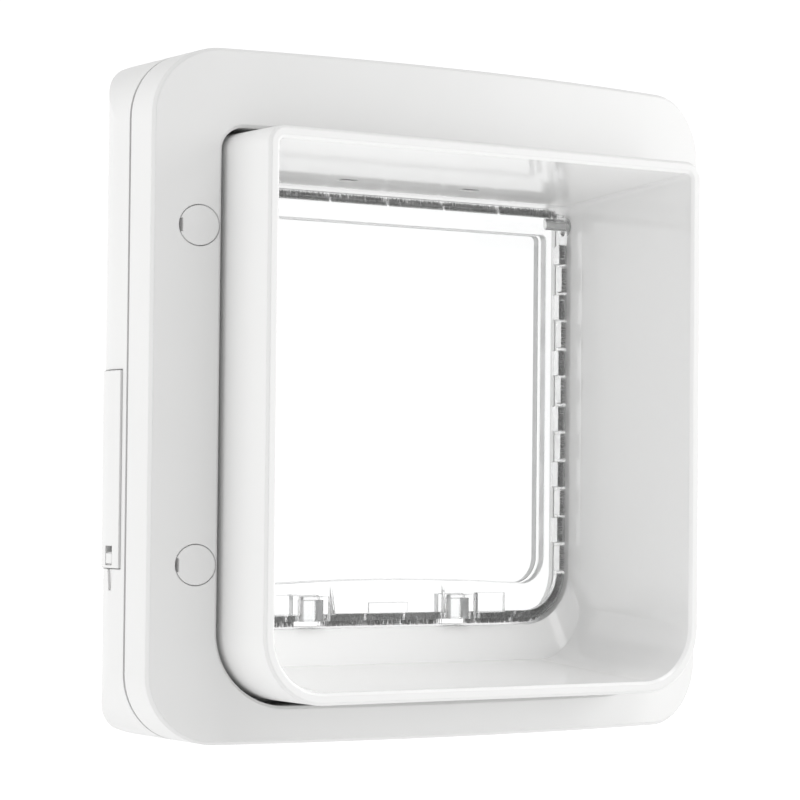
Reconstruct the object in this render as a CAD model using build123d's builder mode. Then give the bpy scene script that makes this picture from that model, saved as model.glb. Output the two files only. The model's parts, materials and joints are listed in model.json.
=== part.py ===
"""Cat flap for a door: outer frame, tunnel, clear swinging flap, latches and a battery-fed inner unit.

Sizes are in millimetres. X runs to the right as seen from outside the door, Y runs into the house and
Z runs up. The origin is on the tunnel's axis, in the plane where the outer frame clamps to the door.
"""

import os
from math import cos, radians, sin

from build123d import *

os.makedirs("parts", exist_ok=True)

# Tunnel through the door
tunnel_width = 164.0
tunnel_height = 172.0
tunnel_reach = 43.4
tunnel_top_corner = 5.5
tunnel_bottom_corner = 21.0
rim_width = 3.7
rim_edge = 0.8
skin = 1.8
cavity_start = 14.0

# Throat where the tunnel's taper ends, and the collar that the flap hangs in
throat_depth = 11.6
throat_side_step = 0.8
header_drop = 0.6
sill_rise = 11.6
throat_top_corner = 2.0
throat_bottom_corner = 17.3
collar_depth = 17.0
collar_top_corner = 2.0
sensor_length = 7.4
sensor_width = 3.0
sensor_corner = 1.0
sensor_spacing = 47.6
sensor_place = 5.5
sensor_sunk = 0.3

# Flap and its hinge
hinge_depth = 20.0
hinge_drop = 17.0
barrel_radius = 4.0
flap_side_room = 9.95
flap_floor_room = 22.0
flap_thickness = 8.0
flap_bottom_corner = 15.0
pane_thickness = 2.8
window_side_rim = 9.0
window_bottom_rim = 10.7
window_arch_rise = 2.3
window_top_drop = 3.6
window_top_corner = 2.0
window_bottom_corner = 9.0
pin_radius = 1.5
pin_sides = 16
pin_grip = 7.5
running_clearance = 0.06
seat_clearance = 0.03
hinge_boss_radius = 3.4
hinge_end_play = 0.2

# Pile strips around the flap, with the ribs that divide their grooves
brush_reach = 2.0
brush_gap = 0.35
brush_width = 3.2
groove_width = 3.4
groove_depth = 2.2
brush_fit = 0.1
rib_thickness = 1.0
side_rib_pitch = 9.5
bottom_rib_pitch = 15.0
top_rib_pitch = 22.3
side_brush_drop = 6.5
top_channel_height = 4.0
top_channel_width = 5.0
top_groove_depth = 2.0
top_groove_end = 3.0
top_brush_reach = 1.6
header_gap = 1.4

# Latches under the sill and their keepers on the flap
latch_spacing = 57.0
latch_width = 7.2
latch_thickness = 4.2
latch_height = 14.0
latch_sunk = 0.6
latch_tip_chamfer = 1.0
latch_lift = 6.0
latch_slide_gap = 0.2
keeper_wall = 1.2
keeper_gap = 0.3
keeper_headroom = 3.75
keeper_reach = 2.4
guide_wall = 1.5
guide_height = 8.0
stop_block_width = 11.0
stop_block_height = 6.5
stop_block_reach = 2.2
stop_block_gap = 1.0
fin_thickness = 0.8
fin_height = 10.0
fin_inset = 6.3
lug_lift = 2.0
land_height = 3.2
land_reach = 0.7
land_lift = 2.5
plunger_width = 5.0
plunger_thickness = 2.0
plunger_length = 12.0
plunger_gap = 0.35
solenoid_width = 15.0
solenoid_thickness = 12.0
solenoid_height = 11.5
solenoid_drop = 1.5
solenoid_foot = 9.0

# Outer frame
frame_top_margin = 25.3
frame_bottom_margin = 12.7
frame_corner = 21.0
frame_edge_depth = 13.7
frame_crown = 12.7
frame_wall = 2.4
frame_edge = 0.9
hole_gap = 1.5
hole_wall = 1.6

# Fixing screws behind push-in caps
screw_inset = 14.5
screw_spread = 102.0
screw_radius = 2.0
screw_sides = 8
screw_hole_gap = 0.25
screw_head_radius = 4.0
screw_head_height = 2.6
screw_head_gap = 0.4
screw_thread_length = 6.0
cap_radius = 6.1
cap_gap = 0.2
cap_depth = 4.0
cap_notch_height = 4.0
cap_notch_width = 1.0
boss_wall = 1.8

# Inner unit: mounting plate, cover and the side columns that hold the cells
clamp_gap = 1.0
plate_thickness = 2.0
plate_gap = 0.15
cover_wall = 2.2
shoulder_radius = 22.0
cover_crown = 1.1
cover_edge_radius = 10.0
aperture_gap = 0.3
cell_diameter = 14.2
cell_sides = 16
cell_length = 49.5
cell_nub_radius = 2.75
cell_nub_height = 1.0
cell_gap = 0.3
cell_apart = 0.48
cell_lean = 52.2
cell_end_room = 1.95
side_margin = 3.5
bay_wall = 1.4
bay_gap = 0.4
contact_thickness = 0.5
contact_bump = 4.0
contact_width = 9.0
contact_gap = 0.1
battery_wall = 1.8
battery_cover_height = 60.7
battery_cover_middle = -16.15
battery_cover_front = 2.5
battery_cover_proud = 0.6
battery_seam = 0.25
finger_tab_width = 4.6
finger_tab_height = 5.8
finger_tab_depth = 0.9
finger_tab_sunk = 0.2
finger_tab_gap = 0.4
finger_tab_margin = 1.2
finger_tab_mid_depth = 10.3
finger_slot_height = 1.8
finger_groove_length = 6.5
finger_groove_width = 3.4
finger_groove_tip = 1.4
finger_groove_depth = 0.8
snap_spacing = 120.0
snap_width = 10.0
snap_thickness = 1.2
snap_reach = 1.0
snap_gap = 0.05

# Electronics above the tunnel
board_width = 110.0
board_height = 17.0
board_thickness = 1.6
board_standoff = 5.0
board_post_side = 4.4
board_top_room = 3.4
chip_height = 1.6
chip_places = 6
chip_sides = (5.7, 8.5)
coil_turns_thickness = 1.6
coil_width = 3.5
coil_gap = 0.4
coil_offset = 5.0
button_radius = 4.5
button_proud = 0.8
button_gap = 0.3
button_flange = 1.2
button_flange_thickness = 1.2
button_stem_side = 3.2
button_travel = 1.0
button_spare = 0.1
button_offset = 0.0
switch_side = 6.0
switch_height = 4.0
lamp_offset = 16.0
lamp_side = 3.0
lamp_height = 2.0
pipe_side = 2.6

# Places worked out from the sizes above
tunnel_half = tunnel_width / 2
tunnel_top = tunnel_height / 2
mouth = -tunnel_reach
hinge_height = tunnel_top - hinge_drop
flap_half = tunnel_half - flap_side_room
flap_bottom = flap_floor_room - tunnel_top
flap_front = hinge_depth - flap_thickness / 2
collar_half = flap_half + brush_reach + brush_gap
collar_top = hinge_height + top_channel_height + top_brush_reach + header_gap
collar_bottom = flap_bottom - brush_reach - brush_gap
collar_bottom_corner = flap_bottom_corner + brush_reach + brush_gap
throat_half = collar_half + throat_side_step
throat_top = collar_top + header_drop
throat_bottom = collar_bottom - sill_rise
unit_front = clamp_gap
plate_back = unit_front + plate_thickness
cell_radius = cell_diameter / 2
rear_cell_x = collar_half + skin + bay_gap + bay_wall + cell_gap + cell_radius
cell_spacing = cell_diameter + cell_apart
front_cell_x = rear_cell_x + cell_spacing * cos(radians(cell_lean))
front_cell_y = plate_back + cell_gap + cell_radius
rear_cell_y = front_cell_y + cell_spacing * sin(radians(cell_lean))
unit_rear = rear_cell_y + cell_radius + cell_gap + battery_wall
unit_peak = unit_rear + cover_crown
frame_half = front_cell_x + cell_radius + side_margin
frame_top = tunnel_top + frame_top_margin
frame_bottom = -tunnel_top - frame_bottom_margin
frame_height = frame_top - frame_bottom
frame_middle = (frame_top + frame_bottom) / 2
frame_depth = frame_edge_depth + frame_crown
duct_end = unit_rear - cover_wall - aperture_gap
screw_x = frame_half - screw_inset
screw_places = [
    (side * screw_x, frame_middle + end * screw_spread / 2) for end in (1, -1) for side in (-1, 1)
]
bay_middle = battery_cover_middle + (battery_cover_height - cell_length - cell_nub_height) / 4
bay_half = (cell_length + cell_nub_height) / 2 + cell_end_room
battery_bottom = battery_cover_middle - battery_cover_height / 2
battery_front = unit_front + battery_cover_front
battery_inner_x = frame_half - shoulder_radius
latch_top = collar_bottom - latch_sunk
keeper_pocket = latch_top + latch_lift + keeper_headroom - flap_bottom
keeper_height = keeper_pocket + keeper_wall
board_middle = frame_top - cover_wall - board_top_room - board_height / 2
board_face = plate_back + board_standoff + board_thickness
sides = (("left", -1), ("right", 1))


def station(depth):
    """Plane across the passage at a depth, seen from outside."""
    return Plane.XZ.offset(-depth)


def hinge_round(radius, start, end):
    """Small round solid along the hinge's axis, from one place across the flap to another."""
    with BuildPart() as form:
        with BuildSketch(Plane.YZ.offset(start)):
            with Locations((hinge_depth, hinge_height)):
                RegularPolygon(radius, pin_sides)
        extrude(amount=end - start)
    return form.part


def passage(depth, half_width, top, bottom, top_corner, bottom_corner):
    """Outline of the passage: small or square corners at the top and larger ones at the bottom."""
    with BuildSketch(station(depth)) as outline:
        with Locations((0, (top + bottom) / 2)):
            Rectangle(2 * half_width, top - bottom)
        fillet(outline.vertices().group_by(Axis.Y)[0], bottom_corner)
        if top_corner:
            fillet(outline.vertices().group_by(Axis.Y)[-1], top_corner)
    return outline.sketch


def tunnel_outline(depth, inset):
    """Outside of the tunnel, moved inwards by inset."""
    return passage(
        depth,
        tunnel_half - inset,
        tunnel_top - inset,
        inset - tunnel_top,
        tunnel_top_corner - inset,
        tunnel_bottom_corner - inset,
    )


def taper(at_mouth, at_throat, depth):
    """Size of the tapered bore at a depth, from its sizes at the mouth and at the throat."""
    return at_mouth + (at_throat - at_mouth) * (depth - mouth) / (throat_depth - mouth)


def bore_outline(depth, grow):
    """Inside of the tapered tunnel at a depth, moved outwards by grow."""
    return passage(
        depth,
        taper(tunnel_half - rim_width, throat_half, depth) + grow,
        taper(tunnel_top - rim_width, throat_top, depth) + grow,
        taper(rim_width - tunnel_top, throat_bottom, depth) - grow,
        taper(tunnel_top_corner - rim_width, throat_top_corner, depth) + grow,
        taper(tunnel_bottom_corner - rim_width, throat_bottom_corner, depth) + grow,
    )


def collar_outline(depth, grow):
    """Bore that the flap hangs in, moved outwards by grow."""
    return passage(
        depth,
        collar_half + grow,
        collar_top + grow,
        collar_bottom - grow,
        collar_top_corner + grow,
        collar_bottom_corner + grow,
    )


def duct(grow):
    """Solid of the passage from mouth to rear: the tapered tunnel, the cove and the collar."""
    with BuildPart() as form:
        loft([bore_outline(mouth, grow), bore_outline(throat_depth, grow)], ruled=True)
        loft([bore_outline(throat_depth, grow), collar_outline(collar_depth, grow)], ruled=True)
        extrude(collar_outline(collar_depth, grow), amount=collar_depth - duct_end)
    return form.part


def frame_outline(depth, inset):
    """Rounded square that the outer frame and the inner unit share, moved inwards by inset."""
    with BuildSketch(station(depth)) as outline:
        with Locations((0, frame_middle)):
            RectangleRounded(2 * (frame_half - inset), frame_height - 2 * inset, frame_corner - inset)
    return outline.sketch


def frame_form(inset):
    """Outer frame as a solid with its front bowed about an upright axis, moved inwards by inset."""
    edge = inset - frame_edge_depth
    with BuildPart() as form:
        extrude(frame_outline(0, inset), amount=2 * frame_depth)
        with BuildSketch(Plane.XY.offset(frame_bottom - frame_corner)):
            with BuildLine():
                front = ThreePointArc((-frame_half, edge), (0, inset - frame_depth), (frame_half, edge))
                Polyline(front @ 1, (frame_half, frame_depth), (-frame_half, frame_depth), front @ 0)
            make_face()
        extrude(amount=frame_height + 2 * frame_corner, mode=Mode.INTERSECT)
    return form.part


def unit_form(inset):
    """Inner unit as a solid: straight sides, round shoulders and a slightly crowned rear."""
    half = frame_half - inset
    rear = unit_rear - inset
    round_over = shoulder_radius - inset
    diagonal = round_over * sin(radians(45))
    centre_x = half - round_over
    centre_y = rear - round_over
    with BuildPart() as form:
        with BuildSketch(Plane.XY.offset(frame_bottom - shoulder_radius)):
            with BuildLine():
                left = ThreePointArc(
                    (-half, centre_y), (-centre_x - diagonal, centre_y + diagonal), (-centre_x, rear)
                )
                crown = ThreePointArc(left @ 1, (0, rear + cover_crown), (centre_x, rear))
                right = ThreePointArc(
                    crown @ 1, (centre_x + diagonal, centre_y + diagonal), (half, centre_y)
                )
                Polyline(right @ 1, (half, unit_front), (-half, unit_front), left @ 0)
            make_face()
        extrude(amount=frame_height + 2 * shoulder_radius)
        with BuildSketch(Plane.YZ.offset(-2 * frame_half)) as profile:
            with Locations(((unit_peak - inset) / 2, frame_middle)):
                Rectangle(unit_peak - inset, frame_height - 2 * inset)
            fillet(profile.vertices().group_by(Axis.X)[-1], cover_edge_radius - inset)
        extrude(amount=4 * frame_half, mode=Mode.INTERSECT)
        extrude(frame_outline(0, inset), amount=-2 * unit_peak, mode=Mode.INTERSECT)
    return form.part


def save(piece, name):
    """Labels a finished piece and writes it."""
    piece.label = name
    export_step(piece, f"parts/{name}.step")


# Outer frame: a hollow moulding with a return wall around the tunnel and a boss behind each cap
cap_face = frame_crown * (screw_x / frame_half) ** 2 - frame_depth
cap_seat = cap_face + cap_depth
head_seat = cap_seat + screw_head_height + screw_head_gap
frame_boss_side = 2 * (cap_radius + cap_gap + boss_wall)

with BuildPart() as frame_hollow:
    add(frame_form(frame_wall))
    extrude(tunnel_outline(0, -hole_gap - hole_wall), amount=frame_depth, mode=Mode.SUBTRACT)
    with BuildSketch(station(0)):
        with Locations(*screw_places):
            Rectangle(frame_boss_side, frame_boss_side)
    extrude(amount=frame_depth, mode=Mode.SUBTRACT)

with BuildPart() as outer_frame:
    add(frame_form(0))
    add(frame_hollow.part, mode=Mode.SUBTRACT)
    extrude(tunnel_outline(0, -hole_gap), amount=frame_depth, mode=Mode.SUBTRACT)
    front_face = outer_frame.faces().filter_by(GeomType.CYLINDER).sort_by(SortBy.AREA)[-1]
    chamfer(front_face.edges(), frame_edge)
    with BuildSketch(station(head_seat)):
        with Locations(*screw_places):
            Circle(cap_radius + cap_gap)
    extrude(amount=frame_depth + head_seat, mode=Mode.SUBTRACT)
    with BuildSketch(station(0)):
        with Locations(*screw_places):
            RegularPolygon(screw_radius + screw_hole_gap, screw_sides)
    extrude(amount=frame_depth, mode=Mode.SUBTRACT)
save(outer_frame.part, "outer_frame")

# Push-in caps, flush with the bowed front, each with a slit for prising it out
with BuildPart() as screw_caps:
    with BuildSketch(station(cap_seat)):
        with Locations(*screw_places):
            Circle(cap_radius)
        with Locations(*[(x - cap_radius, z) for x, z in screw_places]):
            Rectangle(2 * cap_notch_width, cap_notch_height, mode=Mode.SUBTRACT)
    extrude(amount=frame_depth + cap_seat)
    add(frame_form(0), mode=Mode.INTERSECT)
save(screw_caps.part, "screw_caps")

# Fixing screws: hexagon heads in the frame's bosses, shanks across the door into the inner unit
screw_tip = plate_back + screw_thread_length
with BuildPart() as fixing_screws:
    with BuildSketch(station(head_seat)):
        with Locations(*screw_places):
            RegularPolygon(screw_radius, screw_sides)
    extrude(amount=head_seat - screw_tip)
    with BuildSketch(station(head_seat)):
        with Locations(*screw_places):
            RegularPolygon(screw_head_radius, 6)
    extrude(amount=screw_head_height)
save(fixing_screws.part, "fixing_screws")

# Tunnel: double-skinned moulding with the mounting plate, the collar, latch guides and screw bosses
latch_places = [(side * latch_spacing / 2, hinge_depth) for _, side in sides]
board_post_spread = board_width - 2 * board_post_side
board_post_rise = board_height - board_post_side
screw_boss_side = 2 * (screw_radius + boss_wall)
snap_middle = plate_back - snap_thickness / 2
snap_top = frame_height - 2 * (cover_wall - snap_reach)
sensor_places = [(side * sensor_spacing / 2, sensor_place) for _, side in sides]


def snaps(gap):
    """Lugs on the top and foot of the mounting plate that the inner cover snaps over."""
    with BuildPart() as lugs:
        with Locations((0, snap_middle, frame_middle)):
            with GridLocations(snap_spacing, snap_thickness, 2, 1):
                Box(snap_width + 2 * gap, snap_thickness + 2 * gap, snap_top + 2 * gap)
    return lugs.part


def sensor_outline(height, gap):
    """Outlines of the two sensor windows in the roof of the tunnel, with their corners cut."""
    with BuildSketch(Plane.XY.offset(height)) as outline:
        with Locations(*sensor_places):
            Rectangle(sensor_length - 2 * gap, sensor_width - 2 * gap)
        chamfer(outline.vertices(), sensor_corner)
    return outline.sketch



with BuildPart() as tunnel:
    extrude(frame_outline(unit_front, cover_wall + plate_gap), amount=-plate_thickness)
    add(snaps(0))
    loft([tunnel_outline(mouth, rim_edge), tunnel_outline(mouth + rim_edge, 0)], ruled=True)
    extrude(tunnel_outline(mouth + rim_edge, 0), amount=mouth + rim_edge - plate_back)
    extrude(
        tunnel_outline(mouth + cavity_start, skin),
        amount=mouth + cavity_start - plate_back,
        mode=Mode.SUBTRACT,
    )
    add(duct(skin))
    with BuildSketch(station(plate_back)):
        with Locations(*screw_places):
            Rectangle(screw_boss_side, screw_boss_side)
    extrude(amount=-screw_thread_length - boss_wall)
    with BuildSketch(station(plate_back)):
        with Locations((0, board_middle)):
            with GridLocations(board_post_spread, board_post_rise, 2, 2):
                Rectangle(board_post_side, board_post_side)
    extrude(amount=-board_standoff)
    with BuildSketch(Plane.XY.offset(collar_bottom - skin)):
        with Locations(*latch_places):
            Rectangle(
                latch_width + 2 * (latch_slide_gap + guide_wall),
                latch_thickness + 2 * (latch_slide_gap + guide_wall),
            )
    extrude(amount=-guide_height)
    add(duct(0), mode=Mode.SUBTRACT)
    loft(
        [bore_outline(mouth, rim_edge), bore_outline(mouth + 2 * rim_edge, -rim_edge)],
        ruled=True,
        mode=Mode.SUBTRACT,
    )
    with BuildSketch(station(unit_front)):
        with Locations(*screw_places):
            RegularPolygon(screw_radius + seat_clearance, screw_sides)
    extrude(amount=unit_front - screw_tip - seat_clearance, mode=Mode.SUBTRACT)
    with BuildSketch(Plane.XY.offset(collar_bottom + skin)):
        with Locations(*latch_places):
            Rectangle(latch_width + 2 * latch_slide_gap, latch_thickness + 2 * latch_slide_gap)
    extrude(amount=-2 * skin - guide_height, mode=Mode.SUBTRACT)
    add(hinge_round(pin_radius + seat_clearance, -tunnel_half, tunnel_half), mode=Mode.SUBTRACT)
    extrude(sensor_outline(throat_top, 0), amount=board_middle - throat_top, mode=Mode.SUBTRACT)
save(tunnel.part, "tunnel")

# Sensor windows: dark panes set in the roof of the tunnel
sensor_roof = taper(tunnel_top - rim_width, throat_top, sensor_place)
with BuildPart() as sensor_windows:
    extrude(sensor_outline(sensor_roof + sensor_sunk, seat_clearance), amount=skin)
save(sensor_windows.part, "sensor_windows")


def coil_outline(grow):
    """Outline around the tunnel's inner skin just behind the mounting plate."""
    room = skin + coil_gap + grow
    front = plate_back + coil_offset
    top = taper(tunnel_top - rim_width, throat_top, front) + room
    bottom = taper(rim_width - tunnel_top, throat_bottom, front) - room
    with BuildSketch(station(front)) as outline:
        with Locations((0, (top + bottom) / 2)):
            Rectangle(2 * (taper(tunnel_half - rim_width, throat_half, front) + room), top - bottom)
        chamfer(outline.vertices().group_by(Axis.Y)[-1], throat_top_corner / 2)
        chamfer(outline.vertices().group_by(Axis.Y)[0], throat_bottom_corner / 2)
    return outline.sketch


# Antenna: a flat coil wound around the tunnel behind the mounting plate
with BuildPart() as antenna_coil:
    extrude(coil_outline(coil_turns_thickness), amount=-coil_width)
    extrude(coil_outline(0), amount=-coil_width, mode=Mode.SUBTRACT)
save(antenna_coil.part, "antenna_coil")


def battery_window(side, seam):
    """Block around the side opening of the inner unit, made smaller by the seam."""
    inner = battery_inner_x + seam
    outer = frame_half + shoulder_radius
    front = battery_front + seam
    rear = unit_peak + shoulder_radius
    with BuildPart() as block:
        with BuildSketch(Plane.XY.offset(battery_bottom + seam)):
            with Locations((side * (inner + outer) / 2, (front + rear) / 2)):
                Rectangle(outer - inner, rear - front)
        extrude(amount=battery_cover_height - 2 * seam)
    return block.part


# Inner cover: a shell with the aperture, battery windows, the button's hole and pockets for the snaps
with BuildPart() as inner_cover:
    add(unit_form(0))
    add(unit_form(cover_wall), mode=Mode.SUBTRACT)
    add(snaps(snap_gap), mode=Mode.SUBTRACT)
    extrude(collar_outline(duct_end, 0), amount=duct_end - unit_peak, mode=Mode.SUBTRACT)
    for _, side in sides:
        add(battery_window(side, 0), mode=Mode.SUBTRACT)
        with BuildSketch(Plane.YZ.offset(side * (frame_half - finger_groove_depth))):
            with BuildLine():
                Polyline(
                    (finger_tab_mid_depth - finger_groove_width / 2, battery_bottom),
                    (finger_tab_mid_depth - finger_groove_tip / 2, battery_bottom - finger_groove_length),
                    (finger_tab_mid_depth + finger_groove_tip / 2, battery_bottom - finger_groove_length),
                    (finger_tab_mid_depth + finger_groove_width / 2, battery_bottom),
                    close=True,
                )
            make_face()
        extrude(amount=side * finger_groove_depth * 2, mode=Mode.SUBTRACT)
    with BuildSketch(station(board_face)):
        with Locations((button_offset, board_middle)):
            Circle(button_radius + button_gap)
        with Locations((button_offset + lamp_offset, board_middle)):
            Rectangle(pipe_side + 2 * seat_clearance, pipe_side + 2 * seat_clearance)
    extrude(amount=board_face - unit_peak, mode=Mode.SUBTRACT)
save(inner_cover.part, "inner_cover")

# Battery covers: they wrap the shoulder, stand a little proud and have a finger tab near the foot
for side_name, side in sides:
    tab_foot = battery_bottom + finger_tab_margin
    tab_pad_height = finger_tab_height - finger_slot_height - 2 * finger_tab_gap
    side_face = side * (frame_half + battery_cover_proud)
    with BuildPart() as battery_cover:
        add(unit_form(-battery_cover_proud))
        add(unit_form(battery_wall), mode=Mode.SUBTRACT)
        add(battery_window(side, battery_seam), mode=Mode.INTERSECT)
        with BuildSketch(Plane.YZ.offset(side_face - side * finger_tab_depth)):
            with Locations((finger_tab_mid_depth, tab_foot + finger_tab_height / 2)):
                Rectangle(finger_tab_width, finger_tab_height)
        extrude(amount=side * finger_tab_depth, mode=Mode.SUBTRACT)
        with BuildSketch(Plane.YZ.offset(side_face)):
            with Locations((finger_tab_mid_depth, tab_foot + finger_tab_height - finger_slot_height / 2)):
                Rectangle(finger_tab_width, finger_slot_height)
        extrude(amount=-side * 2 * battery_wall, mode=Mode.SUBTRACT)
        with BuildSketch(Plane.YZ.offset(side_face - side * finger_tab_depth)):
            with Locations((finger_tab_mid_depth, tab_foot + (finger_tab_height - finger_slot_height) / 2)):
                Rectangle(finger_tab_width - 2 * finger_tab_gap, tab_pad_height)
        extrude(amount=side * (finger_tab_depth - finger_tab_sunk))
    save(battery_cover.part, f"battery_cover_{side_name}")

# Battery bays: cradles behind the covers, each for two upright cells side by side
bay_bottom = bay_middle - bay_half
bay_height = 2 * bay_half
cradle_radius = cell_radius + cell_gap
bay_reach = 2 * cradle_radius + bay_wall
bay_span = cell_spacing + 2 * (cradle_radius + bay_wall)
bay_inner_x = collar_half + skin + bay_gap
bay_outer_x = frame_half - cover_wall
with BuildPart() as boss_clearance:
    with BuildSketch(station(plate_back)):
        with Locations(*screw_places):
            Rectangle(screw_boss_side + 2 * bay_gap, screw_boss_side + 2 * bay_gap)
    extrude(amount=-screw_thread_length - boss_wall - bay_gap)
boss_room = boss_clearance.part

for side_name, side in sides:
    front_cell = Vector(side * front_cell_x, front_cell_y)
    rear_cell = Vector(side * rear_cell_x, rear_cell_y)
    between_cells = (front_cell + rear_cell) / 2
    turn = side * (90 - cell_lean)
    outward = Vector(side, 0).rotate(Axis.Z, turn)
    cradle_middle = between_cells - outward * (cradle_radius + bay_wall - bay_reach / 2)
    with BuildPart() as bay:
        with BuildSketch(Plane.XY.offset(bay_bottom - bay_wall)):
            with Locations(Location(cradle_middle, turn)):
                Rectangle(bay_reach, bay_span)
            with Locations((side * (bay_inner_x + bay_outer_x) / 2, (plate_back + unit_rear) / 2)):
                Rectangle(bay_outer_x - bay_inner_x, unit_rear - plate_back, mode=Mode.INTERSECT)
        extrude(amount=bay_height + 2 * bay_wall)
        add(unit_form(cover_wall + bay_gap), mode=Mode.INTERSECT)
        with BuildSketch(Plane.XY.offset(bay_bottom)):
            with Locations(Location(between_cells + outward * (bay_reach - cradle_radius), turn)):
                Rectangle(2 * bay_reach, cell_spacing + 2 * cradle_radius)
        extrude(amount=bay_height, mode=Mode.SUBTRACT)
        with BuildSketch(Plane.XY.offset(bay_bottom + bay_height)):
            with Locations(Location(between_cells, turn)):
                Rectangle(contact_width + 2 * contact_gap, contact_width + cell_spacing + 2 * contact_gap)
        extrude(amount=-contact_thickness - contact_gap, mode=Mode.SUBTRACT)
        add(boss_room, mode=Mode.SUBTRACT)
    save(bay.part, f"battery_bay_{side_name}")

    # Contacts: one plate that joins the two cells at the top, and two at the foot
    with BuildPart() as battery_contacts:
        with BuildSketch(Plane.XY.offset(bay_bottom)):
            with Locations(*[Location(cell, turn) for cell in (front_cell, rear_cell)]):
                Rectangle(contact_width, contact_width)
        extrude(amount=contact_thickness)
        with BuildSketch(Plane.XY.offset(bay_bottom)):
            with Locations(*[Location(cell, turn) for cell in (front_cell, rear_cell)]):
                Rectangle(contact_bump, contact_bump)
        extrude(amount=cell_end_room)
        with BuildSketch(Plane.XY.offset(bay_bottom + bay_height)):
            with Locations(Location(between_cells, turn)):
                Rectangle(contact_width, contact_width + cell_spacing)
        extrude(amount=-contact_thickness)
        with BuildSketch(Plane.XY.offset(bay_bottom + bay_height)):
            with Locations(*[Location(cell, turn) for cell in (front_cell, rear_cell)]):
                Rectangle(contact_bump, contact_bump)
        extrude(amount=-cell_end_room)
        add(boss_room, mode=Mode.SUBTRACT)
    save(battery_contacts.part, f"battery_contacts_{side_name}")


# Cells: on each side the front one with its nub up and the rear one with its nub down
cell_bottom = bay_middle - (cell_length + cell_nub_height) / 2
front_cells = [(side * front_cell_x, front_cell_y) for _, side in sides]
rear_cells = [(side * rear_cell_x, rear_cell_y) for _, side in sides]
with BuildPart() as batteries:
    for cells, foot, nub in (
        (front_cells, cell_bottom, cell_bottom + cell_length),
        (rear_cells, cell_bottom + cell_nub_height, cell_bottom),
    ):
        with BuildSketch(Plane.XY.offset(foot)):
            with Locations(*cells):
                RegularPolygon(cell_radius, cell_sides)
        extrude(amount=cell_length)
        with BuildSketch(Plane.XY.offset(nub)):
            with Locations(*cells):
                RegularPolygon(cell_nub_radius, cell_sides // 2)
        extrude(amount=cell_nub_height)
save(batteries.part, "batteries")


def window_outline(depth):
    """Thinner middle of the flap, with an arched lower edge."""
    half = flap_half - window_side_rim
    low = flap_bottom + window_bottom_rim
    high = hinge_height - window_top_drop
    with BuildSketch(station(depth)) as outline:
        with BuildLine():
            arch = ThreePointArc((-half, low), (0, low + window_arch_rise), (half, low))
            Polyline(arch @ 1, (half, high), (-half, high), arch @ 0)
        make_face()
        fillet(outline.vertices().group_by(Axis.Y)[-1], window_top_corner)
        fillet(outline.vertices().group_by(Axis.Y)[0], window_bottom_corner)
    return outline.sketch


side_brush_top = hinge_height - side_brush_drop
side_brush_bottom = flap_bottom + flap_bottom_corner
side_rib_count = int((side_brush_top - side_brush_bottom) / side_rib_pitch) + 1
side_ribs = [side_brush_bottom + index * side_rib_pitch for index in range(side_rib_count)]
bottom_rib_count = int((flap_half - flap_bottom_corner) / bottom_rib_pitch + 0.5)
bottom_rib_start = -(bottom_rib_count - 0.5) * bottom_rib_pitch
bottom_ribs = [bottom_rib_start + index * bottom_rib_pitch for index in range(2 * bottom_rib_count)]
top_rib_count = int((flap_half - top_groove_end) / top_rib_pitch)
top_ribs = [index * top_rib_pitch for index in range(-top_rib_count, top_rib_count + 1)]
keeper_width = latch_width + 2 * (keeper_gap + keeper_wall)


def edge_band(outer, inner, width, rib):
    """Band around the flap's sides and foot, broken at each rib and at the keepers."""
    front = hinge_depth - width / 2
    keeper_break = keeper_width + rib - rib_thickness
    with BuildPart() as band:
        extrude(
            passage(
                front,
                flap_half + outer,
                side_brush_top,
                flap_bottom - outer,
                0,
                flap_bottom_corner + outer,
            ),
            amount=-width,
        )
        extrude(
            passage(
                front,
                flap_half - inner,
                hinge_height,
                flap_bottom + inner,
                0,
                flap_bottom_corner - inner,
            ),
            amount=-width,
            mode=Mode.SUBTRACT,
        )
        with Locations(*[(0, hinge_depth, height) for height in side_ribs]):
            Box(2 * (flap_half + 2 * outer), flap_thickness, rib, mode=Mode.SUBTRACT)
        with Locations(*[(x, hinge_depth, flap_bottom) for x in bottom_ribs]):
            Box(rib, flap_thickness, 2 * flap_bottom_corner, mode=Mode.SUBTRACT)
        with Locations(*[(x, y, flap_bottom) for x, y in latch_places]):
            Box(keeper_break, flap_thickness, 2 * flap_bottom_corner, mode=Mode.SUBTRACT)
    return band.part


def top_band(low, high, width, rib):
    """Band along the top of the flap, broken at each rib."""
    half = flap_half - top_groove_end
    with BuildPart() as band:
        with Locations((0, hinge_depth, hinge_height + (low + high) / 2)):
            Box(2 * half, width, high - low)
        with Locations(*[(x, hinge_depth, hinge_height + high) for x in top_ribs]):
            Box(rib, flap_thickness, 2 * high, mode=Mode.SUBTRACT)
    return band.part


# Flap: clear moulding with a thick rim, a thin pane, the hinge barrel, keepers and brush grooves,
# whose side lips are open in turn at the front and the rear so that a plain tool can mould them
flap_back = flap_front + flap_thickness
groove_lip = (flap_thickness - groove_width) / 2
recess = (flap_thickness - pane_thickness) / 2
keeper_depth = flap_thickness + 2 * keeper_reach
hinge_boss_end = collar_half - hinge_end_play
pin_hole_start = flap_half - pin_grip - hinge_end_play
lug_middle = flap_front - stop_block_reach / 2
lug_foot = flap_bottom + lug_lift
lug_x = latch_spacing / 2 + keeper_width / 2 + stop_block_gap + stop_block_width / 2

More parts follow.
